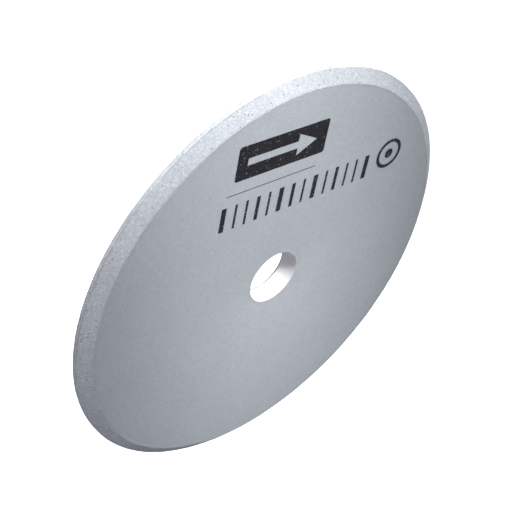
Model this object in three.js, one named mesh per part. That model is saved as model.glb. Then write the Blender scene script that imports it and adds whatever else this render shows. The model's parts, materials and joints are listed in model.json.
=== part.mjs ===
// Flat grinding wheel: a plain core, a lined bore and a rim of glued abrasive segments.
// Units are millimetres. The wheel turns about Y, its marked face looks along -Y, +Z is up,
// and the origin is the centre of the bore, half way through the wheel's thickness.
import * as THREE from 'three';

// Overall sizes
const OUTER_DIAMETER = 250;
const WHEEL_THICKNESS = 12;
const BORE_DIAMETER = 32;

// Rim: the same section on both sides, two bevels with a narrow land between them
const BEVEL_WIDTH = 6.8; // radial run of each bevel
const LAND_WIDTH = 2.8; // cylindrical band at the full diameter
const RIM_FLAT = 0.9; // flat strip of abrasive between a bevel and the core
const SEGMENT_COUNT = 24;
const RIM_GLUE = 0.3; // glue line behind the segments and between them

// Bore liner
const BUSH_WALL = 1.6;
const BUSH_CHAMFER = 0.4;
const BUSH_GLUE = 0.25;

// Smoothness of round surfaces
const FACETS_PER_SEGMENT = 6;
const ROUND_FACETS = SEGMENT_COUNT * FACETS_PER_SEGMENT;

// Radii from the rim inwards, then from the bore outwards
const rimRadius = OUTER_DIAMETER / 2;
const bevelRadius = rimRadius - BEVEL_WIDTH;
const segmentBackRadius = bevelRadius - RIM_FLAT;
const coreRadius = segmentBackRadius - RIM_GLUE;
const boreRadius = BORE_DIAMETER / 2;
const bushRadius = boreRadius + BUSH_WALL;
const coreBoreRadius = bushRadius + BUSH_GLUE;

const halfThickness = WHEEL_THICKNESS / 2;
const halfLand = LAND_WIDTH / 2;
const segmentPitch = (2 * Math.PI) / SEGMENT_COUNT;
const facetPitch = segmentPitch / FACETS_PER_SEGMENT;

// The segments' section, counter-clockwise: x is the radius and y runs through the wheel.
const rimSection = [
  new THREE.Vector2(segmentBackRadius, -halfThickness),
  new THREE.Vector2(bevelRadius, -halfThickness),
  new THREE.Vector2(rimRadius, -halfLand),
  new THREE.Vector2(rimRadius, halfLand),
  new THREE.Vector2(bevelRadius, halfThickness),
  new THREE.Vector2(segmentBackRadius, halfThickness),
];

// Materials, one new one for each piece

function coreMaterial() {
  return new THREE.MeshStandardMaterial({ color: 0xacb1b6, roughness: 0.85, metalness: 0 });
}

function abrasiveMaterial() {
  return new THREE.MeshStandardMaterial({ color: 0xb6bbc0, roughness: 0.95, metalness: 0 });
}

function glueMaterial() {
  return new THREE.MeshStandardMaterial({ color: 0xb1b4b7, roughness: 0.7, metalness: 0 });
}

function bushMaterial() {
  return new THREE.MeshStandardMaterial({ color: 0xd5d6d6, roughness: 0.45, metalness: 0 });
}

// Geometry helpers

function polarPoint(radius, angle, y) {
  return new THREE.Vector3(radius * Math.sin(angle), y, radius * Math.cos(angle));
}

function fanTriangles(face) {
  const corners = [];
  for (let i = 2; i < face.length; i += 1) {
    corners.push(face[0], face[i - 1], face[i]);
  }
  return corners;
}

function solidFromFaces(faces) {
  const geometry = new THREE.BufferGeometry();
  geometry.setFromPoints(faces.flatMap(fanTriangles));
  geometry.computeVertexNormals();
  return geometry;
}

function turnedSolid(corners) {
  const outline = corners.map(([radius, y]) => new THREE.Vector2(radius, y));
  return new THREE.LatheGeometry([...outline, outline[0]], ROUND_FACETS);
}

// A plain ring of rectangular section, through the full thickness of the wheel
function fullRing(innerRadius, outerRadius) {
  return turnedSolid([
    [innerRadius, halfThickness],
    [innerRadius, -halfThickness],
    [outerRadius, -halfThickness],
    [outerRadius, halfThickness],
  ]);
}

// Angles round the rim

function jointAngle(index) {
  return (index - 0.5) * segmentPitch;
}

// A glue line is parallel-sided, so the angle of its edge depends on the radius.
function glueEdge(joint, side) {
  return (radius) => joint + side * Math.asin(RIM_GLUE / 2 / radius);
}

// One angle function for each station along a segment, from one glue line to the next
function segmentStations(index) {
  const stations = [glueEdge(jointAngle(index), 1)];
  for (let facet = 1; facet < FACETS_PER_SEGMENT; facet += 1) {
    stations.push(() => jointAngle(index) + facet * facetPitch);
  }
  stations.push(glueEdge(jointAngle(index + 1), -1));
  return stations;
}

function rimLoop(station) {
  return rimSection.map((corner) => polarPoint(corner.x, station(corner.x), corner.y));
}

// The faces between two loops, for as many of the section's sides as asked
function sideFaces(loop, nextLoop, sideCount) {
  const faces = [];
  for (let side = 0; side < sideCount; side += 1) {
    const next = (side + 1) % loop.length;
    faces.push([loop[side], nextLoop[side], nextLoop[next], loop[next]]);
  }
  return faces;
}

// Pieces

function coreDisc() {
  return new THREE.Mesh(fullRing(coreBoreRadius, coreRadius), coreMaterial());
}

function bushGlue() {
  return new THREE.Mesh(fullRing(bushRadius, coreBoreRadius), glueMaterial());
}

function boreBush() {
  const wallEnd = halfThickness - BUSH_CHAMFER;
  const mouthRadius = boreRadius + BUSH_CHAMFER;
  const geometry = turnedSolid([
    [boreRadius, wallEnd],
    [boreRadius, -wallEnd],
    [mouthRadius, -halfThickness],
    [bushRadius, -halfThickness],
    [bushRadius, halfThickness],
    [mouthRadius, halfThickness],
  ]);
  return new THREE.Mesh(geometry, bushMaterial());
}

function rimSegment(index) {
  const loops = segmentStations(index).map(rimLoop);
  const faces = [loops[0], [...loops[FACETS_PER_SEGMENT]].reverse()];
  for (let facet = 0; facet < FACETS_PER_SEGMENT; facet += 1) {
    faces.push(...sideFaces(loops[facet], loops[facet + 1], rimSection.length));
  }
  return new THREE.Mesh(solidFromFaces(faces), abrasiveMaterial());
}

// The part of the glue ring behind one segment
function glueBehindSegment(index) {
  const stations = segmentStations(index);
  const ringLoop = (facet) => {
    const innerAngle = jointAngle(index) + facet * facetPitch;
    const outerAngle = stations[facet](segmentBackRadius);
    return [
      polarPoint(coreRadius, innerAngle, -halfThickness),
      polarPoint(segmentBackRadius, outerAngle, -halfThickness),
      polarPoint(segmentBackRadius, outerAngle, halfThickness),
      polarPoint(coreRadius, innerAngle, halfThickness),
    ];
  };
  const faces = [];
  for (let facet = 0; facet < FACETS_PER_SEGMENT; facet += 1) {
    faces.push(...sideFaces(ringLoop(facet), ringLoop(facet + 1), 4));
  }
  return faces;
}

// The fin of glue in one joint, and the two slivers of the ring that carry it
function glueFin(index) {
  const joint = jointAngle(index);
  const before = rimLoop(glueEdge(joint, -1));
  const after = rimLoop(glueEdge(joint, 1));
  const front = polarPoint(coreRadius, joint, -halfThickness);
  const back = polarPoint(coreRadius, joint, halfThickness);
  const last = rimSection.length - 1;
  return [
    before,
    [...after].reverse(),
    ...sideFaces(before, after, last),
    [front, after[0], before[0]],
    [back, before[last], after[last]],
  ];
}

function rimGlue() {
  const faces = [];
  for (let index = 0; index < SEGMENT_COUNT; index += 1) {
    faces.push(...glueBehindSegment(index), ...glueFin(index));
  }
  return new THREE.Mesh(solidFromFaces(faces), glueMaterial());
}

function addPiece(group, name, piece) {
  piece.name = name;
  group.add(piece);
}

const wheel = new THREE.Group();
addPiece(wheel, 'core_disc', coreDisc());
addPiece(wheel, 'bore_bush', boreBush());
addPiece(wheel, 'bush_glue', bushGlue());
addPiece(wheel, 'rim_glue', rimGlue());
for (let index = 0; index < SEGMENT_COUNT; index += 1) {
  const number = String(index + 1).padStart(2, '0');
  addPiece(wheel, `rim_segment_${number}`, rimSegment(index));
}

export default wheel;
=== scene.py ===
import json
import math

import bpy
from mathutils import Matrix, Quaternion, Vector, noise
from mathutils.geometry import tessellate_polygon


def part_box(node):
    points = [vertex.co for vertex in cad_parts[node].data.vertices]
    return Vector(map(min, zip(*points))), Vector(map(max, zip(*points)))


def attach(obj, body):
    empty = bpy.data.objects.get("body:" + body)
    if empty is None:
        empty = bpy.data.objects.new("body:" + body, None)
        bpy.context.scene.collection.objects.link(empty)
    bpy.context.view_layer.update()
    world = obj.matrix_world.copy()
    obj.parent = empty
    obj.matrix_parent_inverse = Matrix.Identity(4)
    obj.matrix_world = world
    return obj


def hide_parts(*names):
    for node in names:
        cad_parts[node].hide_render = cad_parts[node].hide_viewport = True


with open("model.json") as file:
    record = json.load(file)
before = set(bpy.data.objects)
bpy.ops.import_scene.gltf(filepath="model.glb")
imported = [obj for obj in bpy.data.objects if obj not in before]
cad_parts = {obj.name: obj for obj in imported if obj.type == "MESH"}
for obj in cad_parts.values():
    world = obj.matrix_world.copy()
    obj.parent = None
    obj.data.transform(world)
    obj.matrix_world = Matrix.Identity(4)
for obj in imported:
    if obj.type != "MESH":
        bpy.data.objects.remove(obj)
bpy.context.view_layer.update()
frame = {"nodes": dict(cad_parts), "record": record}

# The wheel is modelled in metres. It turns about Y, its marked face looks along -Y and +Z is up.

MM = 0.001
RANGE_SOCKETS = ("From Min", "From Max", "To Min", "To Max")

# ---------------------------------------------------------------- sizes, all from the frame


def section_of(node):
    """The corners of a turned node's section, as a set of (radius, y), rounded to a micrometre."""
    corners = set()
    for vertex in frame["nodes"][node].data.vertices:
        x, y, z = vertex.co
        corners.add((round(math.hypot(x, z), 6), round(y, 6)))
    return corners


segment_nodes = sorted(name for name in frame["nodes"] if name.startswith("rim_segment_"))
rim_corners = section_of(segment_nodes[0])
RIM_R = max(r for r, y in rim_corners)
FACE_Y = max(y for r, y in rim_corners)
LAND_Y = max(y for r, y in rim_corners if r == RIM_R)
BEVEL_R = max(r for r, y in rim_corners if y == FACE_Y)
SEGMENT_BACK_R = min(r for r, y in rim_corners)
CORE_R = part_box("core_disc")[1].x
BUSH_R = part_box("bore_bush")[1].x
CORE_BORE_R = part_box("bush_glue")[1].x
bore_mount = next(m for m in frame["record"]["mounts"] if m["name"] == "spindle_bore")
BORE_R = bore_mount["dims"]["r_mm"] * MM
GLUE_GAP = SEGMENT_BACK_R - CORE_R
PITCH = 2 * math.pi / len(segment_nodes)

# ---------------------------------------------------------------- camera, floor and light

# Angles are in degrees: azimuth 0 looks at the marked face, and a negative one comes from the left.
VIEW_AZIMUTH = -47.6
VIEW_ELEVATION = 37.7
VIEW_ROLL = 11.45
VIEW_DISTANCE = 0.6497
WHEEL_RIGHT_OF_AXIS = 0.0062
WHEEL_BELOW_AXIS = 0.0088
LENS = 83.9
SENSOR = 36
CLIP_START = 0.01
CLIP_END = 50


def direction(azimuth, elevation):
    """Unit vector from the wheel towards that azimuth and elevation, in degrees."""
    a, e = math.radians(azimuth), math.radians(elevation)
    return Vector((math.sin(a) * math.cos(e), -math.cos(a) * math.cos(e), math.sin(e)))


def link(obj):
    bpy.context.scene.collection.objects.link(obj)
    return obj


def make_camera():
    data = bpy.data.cameras.new("camera")
    data.lens = LENS
    data.sensor_width = SENSOR
    data.clip_start = CLIP_START
    data.clip_end = CLIP_END
    camera = link(bpy.data.objects.new("camera", data))
    back = direction(VIEW_AZIMUTH, VIEW_ELEVATION)
    turn = back.to_track_quat("Z", "Y") @ Quaternion((0, 0, 1), math.radians(VIEW_ROLL))
    camera.rotation_mode = "QUATERNION"
    camera.rotation_quaternion = turn
    right, up = turn @ Vector((1, 0, 0)), turn @ Vector((0, 1, 0))
    camera.location = back * VIEW_DISTANCE - right * WHEEL_RIGHT_OF_AXIS + up * WHEEL_BELOW_AXIS
    bpy.context.scene.camera = camera


LIGHT_DISTANCE = 1.6

# The key is a narrow beam along a tilted band of the marked face. A beam is a light's full cone.
KEY_AZIMUTH = -9
KEY_ELEVATION = 61
KEY_SIZE = (0.13, 0.3)
KEY_ROLL = 25.5
KEY_ALONG = 0.003
KEY_BEAM = 11.3
KEY_POWER = 0.287

# The back light is a beam on the plain face, and the side lights are for the edges.
BACK_AZIMUTH = 163
BACK_ELEVATION = 50
BACK_SIZE = (0.3, 0.3)
BACK_BEAM = 14
BACK_POWER = 0.34
SIDE_AZIMUTH = 91
SIDE_ELEVATION = 15
SIDE_SIZE = (0.6, 0.6)
SIDE_POWER = 3
FULL_BEAM = 180

# Light from all round, with the factors on it from straight below and from straight above
AMBIENT = (0.34, 0.347, 0.39)
AMBIENT_BELOW_ABOVE = (0.68, 1.26)
BACKDROP = (1, 1, 1)


def make_light(name, azimuth, elevation, size, power, beam=FULL_BEAM, roll=0, along=0):
    """A rectangular light that faces the wheel, moved along its own upward axis."""
    data = bpy.data.lights.new(name, "AREA")
    data.shape = "RECTANGLE"
    data.size, data.size_y = size
    data.spread = math.radians(beam)
    data.energy = power
    light = link(bpy.data.objects.new(name, data))
    towards = direction(azimuth, elevation)
    turn = towards.to_track_quat("Z", "Y") @ Quaternion((0, 0, 1), math.radians(roll))
    light.location = towards * LIGHT_DISTANCE + turn @ Vector((0, along, 0))
    light.rotation_mode = "QUATERNION"
    light.rotation_quaternion = turn


def make_world():
    """Light from all round, brighter from above, and a white backdrop that only the camera sees."""
    world = bpy.data.worlds.new("studio")
    world.use_nodes = True
    nodes, links = world.node_tree.nodes, world.node_tree.links
    nodes.clear()
    output = nodes.new("ShaderNodeOutputWorld")
    mix = nodes.new("ShaderNodeMixShader")
    rays = nodes.new("ShaderNodeLightPath")
    light = nodes.new("ShaderNodeBackground")
    light.inputs["Color"].default_value = (*AMBIENT, 1)
    coordinates = nodes.new("ShaderNodeTexCoord")
    split = nodes.new("ShaderNodeSeparateXYZ")
    upwards = nodes.new("ShaderNodeMapRange")
    for socket, number in zip(RANGE_SOCKETS, (-1, 1, *AMBIENT_BELOW_ABOVE)):
        upwards.inputs[socket].default_value = number
    links.new(coordinates.outputs["Generated"], split.inputs[0])
    links.new(split.outputs["Z"], upwards.inputs["Value"])
    links.new(upwards.outputs["Result"], light.inputs["Strength"])
    seen = nodes.new("ShaderNodeBackground")
    seen.inputs["Color"].default_value = (*BACKDROP, 1)
    links.new(rays.outputs["Is Camera Ray"], mix.inputs[0])
    links.new(light.outputs[0], mix.inputs[1])
    links.new(seen.outputs[0], mix.inputs[2])
    links.new(mix.outputs[0], output.inputs["Surface"])
    bpy.context.scene.world = world


FLOOR_HALF = 6
FLOOR_COLOUR = (0.9, 0.9, 0.9)
FLOOR_ROUGHNESS = 0.9
FLOOR_GLOW = 0.8


def make_floor():
    """A pale floor that the wheel stands on, which glows so that it meets the backdrop unseen."""
    z = -RIM_R
    mesh = bpy.data.meshes.new("floor")
    corners = [(-1, -1), (1, -1), (1, 1), (-1, 1)]
    mesh.from_pydata([(x * FLOOR_HALF, y * FLOOR_HALF, z) for x, y in corners], [], [(0, 1, 2, 3)])
    material = bpy.data.materials.new("floor")
    material.use_nodes = True
    shader = material.node_tree.nodes["Principled BSDF"]
    shader.inputs["Base Color"].default_value = (*FLOOR_COLOUR, 1)
    shader.inputs["Roughness"].default_value = FLOOR_ROUGHNESS
    shader.inputs["Emission Color"].default_value = (*BACKDROP, 1)
    shader.inputs["Emission Strength"].default_value = FLOOR_GLOW
    mesh.materials.append(material)
    floor = link(bpy.data.objects.new("floor", mesh))
    floor.visible_diffuse = False
    floor.visible_glossy = False


# ---------------------------------------------------------------- materials


# The part of a noise's range that most of it lies in
NOISE_RANGE = (0.3, 0.7)

# Pores sit in cells of their own, shifted by these numbers of spacings. A cell has a pore if its
# random value is below the pores' share, with this much of a soft edge.
PORE_SHIFT = (1, 3, 5)
PORE_CHOICE = 0.02

# The sockets for colours of a Mix node, which share their names with those for other types
MIX_FIRST, MIX_SECOND, MIX_RESULT = 6, 7, 2


class Shader:
    """A material's node tree with short ways to add nodes. Sizes are in millimetres."""

    def __init__(self, name):
        self.material = bpy.data.materials.new(name)
        self.material.use_nodes = True
        self.nodes = self.material.node_tree.nodes
        self.links = self.material.node_tree.links
        self.surface = self.nodes["Principled BSDF"]
        coordinates = self.nodes.new("ShaderNodeTexCoord")
        self.place = self.math3("MULTIPLY", coordinates.outputs["Object"], (1 / MM,) * 3)
        split = self.nodes.new("ShaderNodeSeparateXYZ")
        self.links.new(self.place, split.inputs[0])
        x, self.backward, self.upward = split.outputs
        self.radius = self.length(x, self.upward)
        self.depth = self.math("ABSOLUTE", self.backward)

    def set(self, socket, value):
        if isinstance(value, bpy.types.NodeSocket):
            self.links.new(value, socket)
        elif isinstance(value, tuple) and len(value) == 3 and socket.type == "RGBA":
            socket.default_value = (*value, 1)
        else:
            socket.default_value = value

    def math3(self, operation, a, b):
        node = self.nodes.new("ShaderNodeVectorMath")
        node.operation = operation
        self.set(node.inputs[0], a)
        self.set(node.inputs[1], b)
        return node.outputs["Vector"]

    def math(self, operation, *values):
        node = self.nodes.new("ShaderNodeMath")
        node.operation = operation
        for socket, value in zip(node.inputs, values):
            self.set(socket, value)
        return node.outputs[0]

    def length(self, a, b):
        squares = self.math("ADD", self.math("MULTIPLY", a, a), self.math("MULTIPLY", b, b))
        return self.math("SQRT", squares)

    def noise(self, size, detail, roughness=0.55, place=None):
        """Smooth noise, 0 to 1, with features about this size."""
        node = self.nodes.new("ShaderNodeTexNoise")
        node.inputs["Scale"].default_value = 1 / size
        node.inputs["Detail"].default_value = detail
        node.inputs["Roughness"].default_value = roughness
        self.set(node.inputs["Vector"], place or self.place)
        return node.outputs["Fac"]

    def cells(self, size, output="Distance", place=None):
        """Cells about this size: the distance from a cell's middle, or its random value."""
        node = self.nodes.new("ShaderNodeTexVoronoi")
        node.inputs["Scale"].default_value = 1 / size
        self.set(node.inputs["Vector"], place or self.place)
        if output == "Distance":
            return node.outputs["Distance"]
        split = self.nodes.new("ShaderNodeSeparateColor")
        self.links.new(node.outputs["Color"], split.inputs[0])
        return split.outputs[0]

    def pores(self, spacing, share, size):
        """1 inside round pores, in a share of the cells; size is a part of the cells' spacing."""
        shift = tuple(cells * spacing for cells in PORE_SHIFT)
        place = self.math3("ADD", self.place, shift)
        chosen = self.remap(self.cells(spacing, "random", place), share, share + PORE_CHOICE, 1, 0)
        inside = self.remap(self.cells(spacing, "Distance", place), size / 2, size, 1, 0)
        return self.math("MULTIPLY", chosen, inside)

    def all_pores(self, kinds):
        return self.math("MAXIMUM", *(self.pores(*kind) for kind in kinds))

    def remap(self, value, low, high, to_low, to_high):
        node = self.nodes.new("ShaderNodeMapRange")
        node.interpolation_type = "SMOOTHSTEP"
        self.set(node.inputs["Value"], value)
        for socket, number in zip(RANGE_SOCKETS, (low, high, to_low, to_high)):
            self.set(node.inputs[socket], number)
        return node.outputs["Result"]

    def vary(self, noise, factors):
        """A factor that goes from the first to the second as the noise rises."""
        return self.remap(noise, *NOISE_RANGE, *factors)

    def blend(self, factor, first, second):
        node = self.nodes.new("ShaderNodeMix")
        node.data_type = "RGBA"
        self.set(node.inputs["Factor"], factor)
        self.set(node.inputs[MIX_FIRST], first)
        self.set(node.inputs[MIX_SECOND], second)
        return node.outputs[MIX_RESULT]

    def near_circle(self, radius, y, width):
        """1 on the circles of this radius at y and -y, both in metres, falling to 0 at width."""
        across = self.math("SUBTRACT", self.radius, radius / MM)
        along = self.math("SUBTRACT", self.depth, y / MM)
        return self.remap(self.length(across, along), 0, width, 1, 0)

    def on_face(self, depth):
        """1 on the wheel's two faces and down to a third of this depth, 0 from the whole depth."""
        return self.remap(self.depth, FACE_Y / MM - depth, FACE_Y / MM - depth / 3, 0, 1)

    def tint(self, colour, *factors):
        """A colour multiplied by factors that vary over the surface."""
        total = factors[0]
        for factor in factors[1:]:
            total = self.math("MULTIPLY", total, factor)
        node = self.nodes.new("ShaderNodeVectorMath")
        node.operation = "SCALE"
        self.set(node.inputs[0], colour)
        self.set(node.inputs["Scale"], total)
        return node.outputs["Vector"]

    def bump(self, height, depth):
        """Relief from a height of 0 to 1, which stands for this depth."""
        node = self.nodes.new("ShaderNodeBump")
        node.inputs["Strength"].default_value = 1
        node.inputs["Distance"].default_value = depth * MM
        self.set(node.inputs["Height"], height)
        self.set(self.surface.inputs["Normal"], node.outputs["Normal"])


# A noise is its size, detail and, where it isn't the usual one, roughness. Factors are the least and
# the most that a colour is multiplied by. Pores are their spacing, share of cells and size.

CORE_COLOUR = (0.412, 0.438, 0.46)
CORE_CLOUD_NOISE, CORE_CLOUD_FACTORS = (24, 2), (0.985, 1.012)
CORE_MOTTLE_NOISE, CORE_MOTTLE_FACTORS = (3.2, 5, 0.65), (0.955, 1.03)
CORE_GRAIN_SIZE, CORE_GRAIN_FACTORS = 0.42, (0.94, 1.05)
CORE_SPECK_RANGE, CORE_SPECK_FACTOR = (0.985, 0.99), 1.2
CORE_PORES = ((2.4, 0.26, 0.2), (1.1, 0.16, 0.26))
# Painted shade in the core's pores: their colour is multiplied by this.
CORE_PORE_PAINTED_SHADE = 0.66
CORE_ROUGHNESS = (0.68, 0.88)
CORE_RELIEF_NOISE, CORE_GRAIN_HEIGHT, CORE_RELIEF = (0.35, 4, 0.7), 0.4, 0.06

ABRASIVE_COLOUR = (0.487, 0.515, 0.544)
ABRASIVE_CLOUD_NOISE, ABRASIVE_CLOUD_FACTORS = (16, 3), (0.97, 1.02)
ABRASIVE_MOTTLE_NOISE, ABRASIVE_MOTTLE_RANGE = (1.9, 5, 0.7), (0.28, 0.72)
ABRASIVE_MOTTLE_FACTORS = (0.91, 1.07)
ABRASIVE_GRAIN_SIZE, ABRASIVE_GRAIN_FACTORS = 0.5, (0.89, 1.08)
ABRASIVE_FINE_SIZE, ABRASIVE_FINE_FACTORS = 0.24, (0.93, 1.06)
ABRASIVE_PORES = ((1.9, 0.22, 0.3), (0.9, 0.2, 0.3))
# Painted shade in the abrasive's pores: their colour is multiplied by this.
ABRASIVE_PORE_PAINTED_SHADE = 0.55
ABRASIVE_ROUGHNESS = 0.82
ABRASIVE_RELIEF_NOISE, ABRASIVE_RELIEF = (0.3, 3, 0.7), 0.07
# The colour is darker along the edges between the land and the bevels, within this width, by this
# factor.
LAND_EDGE_WIDTH, LAND_EDGE_FACTOR = 0.6, 0.76
# A few grains are smoother and lighter: the lighter colour is a painted glint, and the lower
# roughness is a real shine.
PAINTED_GLINT_COLOUR = (0.66, 0.67, 0.68)
GLINT_GRAIN_RANGE, GLINT_GRAIN_ROUGHNESS = (0.93, 0.945), 0.35
SKIN_NOISE, SKIN_FACTORS, SKIN_DEPTH = (0.9, 4, 0.7), (0.96, 1.06), 0.12

GLUE_COLOUR = (0.44, 0.455, 0.475)
GLUE_NOISE, GLUE_FACTORS = (0.5, 4), (0.9, 1.08)
GLUE_SHEEN_NOISE, GLUE_ROUGHNESS = (1.5, 3), (0.6, 0.75)
GLUE_RELIEF_NOISE, GLUE_RELIEF = (0.3, 3), 0.03

BUSH_COLOUR = (0.665, 0.67, 0.675)
BUSH_CHAMFER = 0.4 * MM
BUSH_MOTTLE_NOISE, BUSH_MOTTLE_FACTORS = (2.5, 4), (0.96, 1.03)
BUSH_LINE_STRETCH, BUSH_LINE_NOISE, BUSH_LINE_FACTORS = (0.02, 4, 0.02), (1, 2, 0.5), (0.97, 1.02)
BUSH_ROUGHNESS = (0.36, 0.5)
BUSH_RELIEF_NOISE, BUSH_RELIEF_SHARE, BUSH_RELIEF = (0.4, 2), 0.3, 0.02
# Painted shade along the bore's back edge: its width, and the heights and factors that make it
# darkest low down.
BACK_EDGE_SHADE_WIDTH, BACK_EDGE_SHADE_HEIGHTS, BACK_EDGE_SHADE_FACTORS = 1.2, (-11, 1), (0, 0.75)

INK_COLOUR = (0.011, 0.01, 0.012)
INK_THIN_COLOUR = (0.042, 0.041, 0.05)
INK_THIN_NOISE, INK_THIN_RANGE = (0.9, 4, 0.7), (0.5, 0.62)
INK_BARE_SIZE, INK_BARE_RANGE, INK_BARE_SHARE = 0.55, (0.02, 0.03), 0.55
INK_ROUGHNESS = (0.55, 0.72)
INK_SPECULAR = 0.2
INK_RELIEF_NOISE, INK_RELIEF = (0.5, 4, 0.7), 0.03


def core_material():
    """Fine, even ceramic, ground flat, with small open pores darkened as painted shade."""
    s = Shader("vitrified_core")
    cloud = s.vary(s.noise(*CORE_CLOUD_NOISE), CORE_CLOUD_FACTORS)
    mottle = s.vary(s.noise(*CORE_MOTTLE_NOISE), CORE_MOTTLE_FACTORS)
    grains = s.cells(CORE_GRAIN_SIZE, "random")
    grain = s.remap(grains, 0, 1, *CORE_GRAIN_FACTORS)
    speck = s.remap(grains, *CORE_SPECK_RANGE, 1, CORE_SPECK_FACTOR)
    pits = s.all_pores(CORE_PORES)
    # Painted shade: the pores are darkened in the colour.
    pore_painted_shade = s.remap(pits, 0, 1, 1, CORE_PORE_PAINTED_SHADE)
    colour = s.tint(CORE_COLOUR, cloud, mottle, grain, speck, pore_painted_shade)
    s.set(s.surface.inputs["Base Color"], colour)
    s.set(s.surface.inputs["Roughness"], s.remap(grains, 0, 1, *CORE_ROUGHNESS))
    grain_height = s.math("MULTIPLY", grains, CORE_GRAIN_HEIGHT)
    solid = s.math("ADD", s.noise(*CORE_RELIEF_NOISE), grain_height)
    s.bump(s.math("SUBTRACT", solid, pits), CORE_RELIEF)
    return s.material


def abrasive_material():
    """Coarse grit with a few lighter grains as painted glints, open pores darkened as painted shade,
    darker edges to the land, and the core's ground skin on the faces.
    """
    s = Shader("vitrified_abrasive")
    grains = s.cells(ABRASIVE_GRAIN_SIZE, "random")
    cloud = s.vary(s.noise(*ABRASIVE_CLOUD_NOISE), ABRASIVE_CLOUD_FACTORS)
    mottle = s.noise(*ABRASIVE_MOTTLE_NOISE)
    mottle = s.remap(mottle, *ABRASIVE_MOTTLE_RANGE, *ABRASIVE_MOTTLE_FACTORS)
    grain = s.remap(grains, 0, 1, *ABRASIVE_GRAIN_FACTORS)
    fine = s.remap(s.cells(ABRASIVE_FINE_SIZE, "random"), 0, 1, *ABRASIVE_FINE_FACTORS)
    pits = s.all_pores(ABRASIVE_PORES)
    # Painted shade: the pores are darkened in the colour.
    pore_painted_shade = s.remap(pits, 0, 1, 1, ABRASIVE_PORE_PAINTED_SHADE)
    glint_grains = s.remap(grains, *GLINT_GRAIN_RANGE, 0, 1)
    # Darker along the edges between the land and the bevels.
    land_edge_darkening = s.remap(s.near_circle(RIM_R, LAND_Y, LAND_EDGE_WIDTH), 0, 1, 1, LAND_EDGE_FACTOR)
    body = s.tint(ABRASIVE_COLOUR, cloud, mottle, grain, fine, pore_painted_shade, land_edge_darkening)
    # Painted glint: the lighter colour on the smoother grains.
    body = s.blend(glint_grains, body, PAINTED_GLINT_COLOUR)
    skin = s.tint(CORE_COLOUR, cloud, s.vary(s.noise(*SKIN_NOISE), SKIN_FACTORS))
    s.set(s.surface.inputs["Base Color"], s.blend(s.on_face(SKIN_DEPTH), body, skin))
    roughness = s.remap(glint_grains, 0, 1, ABRASIVE_ROUGHNESS, GLINT_GRAIN_ROUGHNESS)
    s.set(s.surface.inputs["Roughness"], roughness)
    domes = s.math("SUBTRACT", grains, s.cells(ABRASIVE_GRAIN_SIZE))
    relief = s.math("SUBTRACT", domes, pits)
    s.bump(s.math("ADD", relief, s.noise(*ABRASIVE_RELIEF_NOISE)), ABRASIVE_RELIEF)
    return s.material


def glue_material():
    """Hard, filled glue with a slight sheen."""
    s = Shader("filled_glue")
    colour = s.tint(GLUE_COLOUR, s.vary(s.noise(*GLUE_NOISE), GLUE_FACTORS))
    s.set(s.surface.inputs["Base Color"], colour)
    roughness = s.vary(s.noise(*GLUE_SHEEN_NOISE), GLUE_ROUGHNESS)
    s.set(s.surface.inputs["Roughness"], roughness)
    s.bump(s.noise(*GLUE_RELIEF_NOISE), GLUE_RELIEF)
    return s.material


def bush_material():
    """Smooth pale wall with fine turned lines, painted shade along its back edge that is darkest low
    down, and core-grey ends.
    """
    s = Shader("cast_bush")
    mottle = s.vary(s.noise(*BUSH_MOTTLE_NOISE), BUSH_MOTTLE_FACTORS)
    lines = s.noise(*BUSH_LINE_NOISE, s.math3("MULTIPLY", s.place, BUSH_LINE_STRETCH))
    # Painted shade along the back edge of the bore, darkest at the bottom.
    edge = s.near_circle(BORE_R, FACE_Y - BUSH_CHAMFER, BACK_EDGE_SHADE_WIDTH)
    edge = s.math("MULTIPLY", edge, s.remap(s.backward, 0, 1, 0, 1))
    back_edge_shade = s.remap(edge, 0, 1, 1, s.remap(s.upward, *BACK_EDGE_SHADE_HEIGHTS, *BACK_EDGE_SHADE_FACTORS))
    wall = s.tint(BUSH_COLOUR, mottle, s.vary(lines, BUSH_LINE_FACTORS), back_edge_shade)
    skin = s.tint(CORE_COLOUR, s.vary(s.noise(*CORE_MOTTLE_NOISE), CORE_MOTTLE_FACTORS))
    s.set(s.surface.inputs["Base Color"], s.blend(s.on_face(BUSH_CHAMFER / MM), wall, skin))
    s.set(s.surface.inputs["Roughness"], s.vary(lines, BUSH_ROUGHNESS))
    fine = s.math("MULTIPLY", s.noise(*BUSH_RELIEF_NOISE), BUSH_RELIEF_SHARE)
    s.bump(s.math("ADD", lines, fine), BUSH_RELIEF)
    return s.material


def ink_material():
    """Black ink, thin in places, with pores of the core left bare."""
    s = Shader("printed_ink")
    thin = s.remap(s.noise(*INK_THIN_NOISE), *INK_THIN_RANGE, 0, 1)
    bare = s.remap(s.cells(INK_BARE_SIZE, "random"), *INK_BARE_RANGE, 1, 0)
    ink = s.blend(thin, INK_COLOUR, INK_THIN_COLOUR)
    colour = s.blend(s.math("MULTIPLY", bare, INK_BARE_SHARE), ink, CORE_COLOUR)
    s.set(s.surface.inputs["Base Color"], colour)
    s.set(s.surface.inputs["Roughness"], s.remap(thin, 0, 1, *INK_ROUGHNESS))
    s.set(s.surface.inputs["Specular IOR Level"], INK_SPECULAR)
    s.bump(s.noise(*INK_RELIEF_NOISE), INK_RELIEF)
    return s.material


# ---------------------------------------------------------------- pieces


def add_piece(name, points, faces, material, smooth=True):
    """A mesh that is fixed to the wheel."""
    mesh = bpy.data.meshes.new(name)
    mesh.from_pydata([tuple(p) for p in points], [], faces)
    mesh.validate()
    mesh.materials.append(material)
    mesh.polygons.foreach_set("use_smooth", [smooth] * len(mesh.polygons))
    piece = link(bpy.data.objects.new(name, mesh))
    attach(piece, "root")
    return piece


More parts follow.
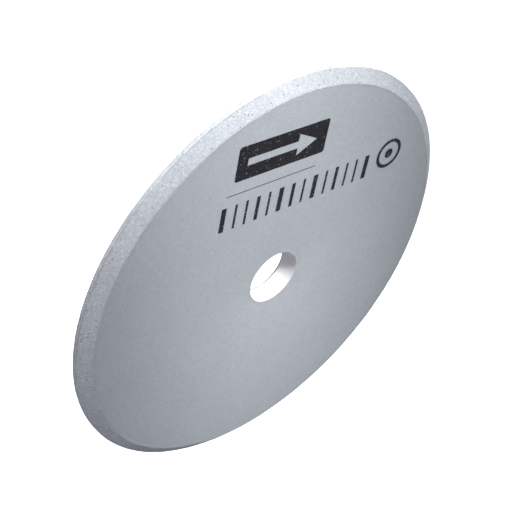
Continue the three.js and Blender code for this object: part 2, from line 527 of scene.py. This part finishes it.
def polar(radius, angle, y):
    """The point at this radius and height through the wheel; angle 0 is up."""
    return Vector((radius * math.sin(angle), y, radius * math.cos(angle)))


CURVE_STEPS = 4


def softened(corners, cut):
    """A closed outline with each corner turned into a short curve that starts cut before it."""
    outline = []
    for i, corner in enumerate(corners):
        before, after = corners[i - 1], corners[(i + 1) % len(corners)]
        start = corner + (before - corner).normalized() * cut
        end = corner + (after - corner).normalized() * cut
        for t in (k / CURVE_STEPS for k in range(CURVE_STEPS + 1)):
            outline.append(start.lerp(corner, t).lerp(corner.lerp(end, t), t))
    return outline


def divided(outline, step):
    """A closed outline with points added so that none are further apart than step."""
    points = []
    for i, point in enumerate(outline):
        after = outline[(i + 1) % len(outline)]
        count = max(1, math.ceil((after - point).length / step))
        points += [point.lerp(after, k / count) for k in range(count)]
    return points


TURNED_FACETS = 288


def turned(name, corners, cut, material):
    """A ring turned about Y from a closed outline of (radius, y)."""
    outline = softened([Vector(c) for c in corners], cut)
    count = len(outline)
    points = []
    for k in range(TURNED_FACETS):
        points += [polar(p.x, 2 * math.pi * k / TURNED_FACETS, p.y) for p in outline]
    faces = []
    for k in range(TURNED_FACETS):
        here, there = k * count, (k + 1) % TURNED_FACETS * count
        for i in range(count):
            j = (i + 1) % count
            faces.append((here + i, there + i, there + j, here + j))
    return add_piece(name, points, faces, material)


# The mesh of a segment, and how close to its joints and its back the relief fades out
SEGMENT_STEP = 0.5 * MM
SEGMENT_EDGE = 0.25 * MM
JOINT_FADE = 0.7 * MM

# Relief of the grains: gaps between them, fine roughness and wide hollows, with a share of each
GRAIN_SIZE = 1.1 * MM
GRAIN_DEPTH = 0.16 * MM
GAP_SHARE, GAP_SLOPE = 0.55, 2.5
ROUGH_SHARE, ROUGH_SIZE = 0.3, 0.4 * GRAIN_SIZE
HOLLOW_SHARE, HOLLOW_SIZE, HOLLOW_FROM = 0.8, 3 * GRAIN_SIZE, 0.25

# Chips along the bevel's two edges, large ones with small ones among them
CHIP_SIZE = 1.8 * MM
CHIP_DEPTH = 0.42 * MM
CHIP_REACH = 1 * MM
CHIP_FROM, CHIP_SLOPE = 0.05, 1.6
SMALL_CHIP_SHARE, SMALL_CHIPS_PER_CHIP = 0.6, 3
LAND_CHIP_SHARE = 0.4


def grain_relief(place):
    """How far the surface lies below its true shape, 0 to 1: rounded grains with pits between."""
    near = noise.voronoi(place / GRAIN_SIZE)[0]
    dome = min(1, GAP_SLOPE * (near[1] - near[0]))
    rough = 0.5 + 0.5 * noise.noise(place / ROUGH_SIZE)
    hollow = max(0, noise.noise(place / HOLLOW_SIZE) - HOLLOW_FROM)
    return min(1, GAP_SHARE * (1 - dome) + ROUGH_SHARE * rough + HOLLOW_SHARE * hollow)


def chipping(place, point):
    """How much of the surface has broken away near the bevel's two edges, 0 to 1."""
    large = max(0, noise.noise(place / CHIP_SIZE) - CHIP_FROM)
    small = max(0, noise.noise(place / CHIP_SIZE * SMALL_CHIPS_PER_CHIP))
    broken = min(1, CHIP_SLOPE * (large + SMALL_CHIP_SHARE * small))
    depth = 0
    for radius, y, share in ((BEVEL_R, FACE_Y, 1), (RIM_R, LAND_Y, LAND_CHIP_SHARE)):
        near = max(0, 1 - math.hypot(point.x - radius, abs(point.y) - y) / CHIP_REACH)
        depth += share * near * broken
    return depth


def rim_segment(index, name, material):
    """One abrasive block with its relief, as a row of sections from one joint to the next."""
    corners = [
        (SEGMENT_BACK_R, -FACE_Y), (BEVEL_R, -FACE_Y), (RIM_R, -LAND_Y),
        (RIM_R, LAND_Y), (BEVEL_R, FACE_Y), (SEGMENT_BACK_R, FACE_Y),
    ]
    outline = divided(softened([Vector(c) for c in corners], SEGMENT_EDGE), SEGMENT_STEP)
    count = len(outline)
    inwards = []
    for i, point in enumerate(outline):
        along = (outline[(i + 1) % count] - outline[i - 1]).normalized()
        inwards.append(Vector((-along.y, along.x)))
    stations = math.ceil(RIM_R * PITCH / SEGMENT_STEP)
    joint = (index - 0.5) * PITCH
    points = []
    for k in range(stations + 1):
        for point, inward in zip(outline, inwards):
            margin = math.asin(GLUE_GAP / 2 / point.x)
            angle = joint + margin + (PITCH - 2 * margin) * k / stations
            place = polar(point.x, angle, point.y)
            to_joint = point.x * PITCH * min(k, stations - k) / stations
            to_back = point.x - SEGMENT_BACK_R
            fade = min(1, to_joint / JOINT_FADE, to_back / JOINT_FADE)
            depth = GRAIN_DEPTH * grain_relief(place) + CHIP_DEPTH * chipping(place, point)
            cut = point + inward * depth * max(0, fade)
            points.append(polar(cut.x, angle, cut.y))
    last = range(stations * count, (stations + 1) * count)
    faces = [tuple(range(count)), tuple(reversed(last))]
    for k in range(stations):
        for i in range(count):
            j = (i + 1) % count
            here, there = k * count, (k + 1) * count
            faces.append((here + i, there + i, there + j, here + j))
    piece = add_piece(f"{name}_grain", points, faces, material)
    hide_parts(name)


FACE_RECESS = 0.02 * MM
CORE_EDGE = 0.05 * MM
BUSH_EDGE = 0.15 * MM


def make_core(material):
    y = FACE_Y - FACE_RECESS
    corners = [(CORE_BORE_R, -y), (CORE_R, -y), (CORE_R, y), (CORE_BORE_R, y)]
    core = turned("core_disc_ground", corners, CORE_EDGE, material)
    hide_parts("core_disc")


def make_bush(material):
    corners = [
        (BORE_R, -FACE_Y + BUSH_CHAMFER), (BORE_R + BUSH_CHAMFER, -FACE_Y), (BUSH_R, -FACE_Y),
        (BUSH_R, FACE_Y), (BORE_R + BUSH_CHAMFER, FACE_Y), (BORE_R, FACE_Y - BUSH_CHAMFER),
    ]
    bush = turned("bore_bush_turned", corners, BUSH_EDGE, material)
    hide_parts("bore_bush")


INK_THICKNESS = 0.012 * MM


def ink_piece(name, shapes, material):
    """Thin film on the front face. A shape is an (x, z) outline in millimetres, then its holes."""
    back = -(FACE_Y - FACE_RECESS)
    front = back - INK_THICKNESS
    points, faces = [], []
    for loops in shapes:
        first = len(points)
        flat_loops = [[Vector((x, z, 0)) for x, z in loop] for loop in loops]
        flat = [p for loop in flat_loops for p in loop]
        count = len(flat)
        points += [(p.x * MM, y, p.y * MM) for y in (front, back) for p in flat]
        for a, b, c in tessellate_polygon(flat_loops):
            if (flat[b] - flat[a]).cross(flat[c] - flat[a]).z < 0:
                b, c = c, b
            faces.append((first + a, first + b, first + c))
            faces.append((first + count + a, first + count + c, first + count + b))
        start = first
        for loop in loops:
            for i in range(len(loop)):
                here, there = start + i, start + (i + 1) % len(loop)
                faces.append((there, here, count + here, count + there))
            start += len(loop)
    return add_piece(name, points, faces, material, smooth=False)


CIRCLE_POINTS = 48
CORNER_POINTS = 11


def arc(x, z, radius, start, turn, count):
    """Points on an arc from start, each a turn in degrees anticlockwise from the one before."""
    angles = [math.radians(start + turn * k) for k in range(count)]
    return [(x + radius * math.cos(a), z + radius * math.sin(a)) for a in angles]


def circle(x, z, radius):
    return arc(x, z, radius, 0, 360 / CIRCLE_POINTS, CIRCLE_POINTS)


def rounded_box(left, bottom, right, top, radius):
    corners = ((right - radius, top - radius), (left + radius, top - radius),
               (left + radius, bottom + radius), (right - radius, bottom + radius))
    points = []
    for i, (x, z) in enumerate(corners):
        points += arc(x, z, radius, 90 * i, 90 / (CORNER_POINTS - 1), CORNER_POINTS)
    return points


# The print, in millimetres on the marked face. Boxes are left, bottom, right and top.
BLOCK, BLOCK_CORNER = (-43, 77.2, 17, 97.8), 1.6
ARROW = {"tail": -36, "neck": -3, "tip": 10, "shaft": 2.1, "head": 6.4}
RULE, RULE_CORNER = (-46.5, 69.4, 13.5, 69.9), 0.2
BAR_ROW, BAR_CORNER = {"left": -48, "right": 56, "bottom": 48, "top": 63}, 0.3
BAR_WIDTHS = (3.2, 1.6, 1.6, 2.4, 1.6, 3.2, 2.4, 1.6, 3.2, 1.6, 2.4, 1.6, 1.6, 3.2)
RING_CENTRE, RING_RADII, DOT_RADIUS = (72, 59), (9.4, 7.2), 3


def arrow_outline(middle):
    """An arrow that points right, with its middle line at this height."""
    a = ARROW
    upper = [(a["tail"], a["shaft"]), (a["neck"], a["shaft"]), (a["neck"], a["head"]), (a["tip"], 0)]
    lower = [(x, -z) for x, z in reversed(upper[:-1])]
    return [(x, middle + z) for x, z in upper + lower]


def make_ink(material):
    arrow = arrow_outline((BLOCK[1] + BLOCK[3]) / 2)
    ink_piece("ink_block", [[rounded_box(*BLOCK, BLOCK_CORNER), arrow]], material)
    ink_piece("ink_rule", [[rounded_box(*RULE, RULE_CORNER)]], material)
    row = BAR_ROW
    gap = (row["right"] - row["left"] - sum(BAR_WIDTHS)) / (len(BAR_WIDTHS) - 1)
    bars, left = [], row["left"]
    for width in BAR_WIDTHS:
        box = rounded_box(left, row["bottom"], left + width, row["top"], BAR_CORNER)
        bars.append([box])
        left += width + gap
    ink_piece("ink_bars", bars, material)
    outer, inner = (circle(*RING_CENTRE, radius) for radius in RING_RADII)
    dot = circle(*RING_CENTRE, DOT_RADIUS)
    ink_piece("ink_ring", [[outer, inner[::-1]], [dot]], material)


def dress_glue(material):
    """The CAD's own glue nodes stay, with a better material."""
    for node in ("rim_glue", "bush_glue"):
        mesh = frame["nodes"][node].data
        mesh.materials.clear()
        mesh.materials.append(material)


def make_wheel():
    make_core(core_material())
    make_bush(bush_material())
    dress_glue(glue_material())
    make_ink(ink_material())
    abrasive = abrasive_material()
    for index, name in enumerate(segment_nodes):
        rim_segment(index, name, abrasive)


make_camera()
make_world()
make_light(
    "key", KEY_AZIMUTH, KEY_ELEVATION, KEY_SIZE, KEY_POWER, KEY_BEAM, KEY_ROLL, KEY_ALONG
)
make_light("back", BACK_AZIMUTH, BACK_ELEVATION, BACK_SIZE, BACK_POWER, BACK_BEAM)
for name, azimuth in (("left", -SIDE_AZIMUTH), ("right", SIDE_AZIMUTH)):
    make_light(name, azimuth, SIDE_ELEVATION, SIDE_SIZE, SIDE_POWER)
make_floor()
make_wheel()
bpy.context.scene.view_settings.view_transform = "Standard"
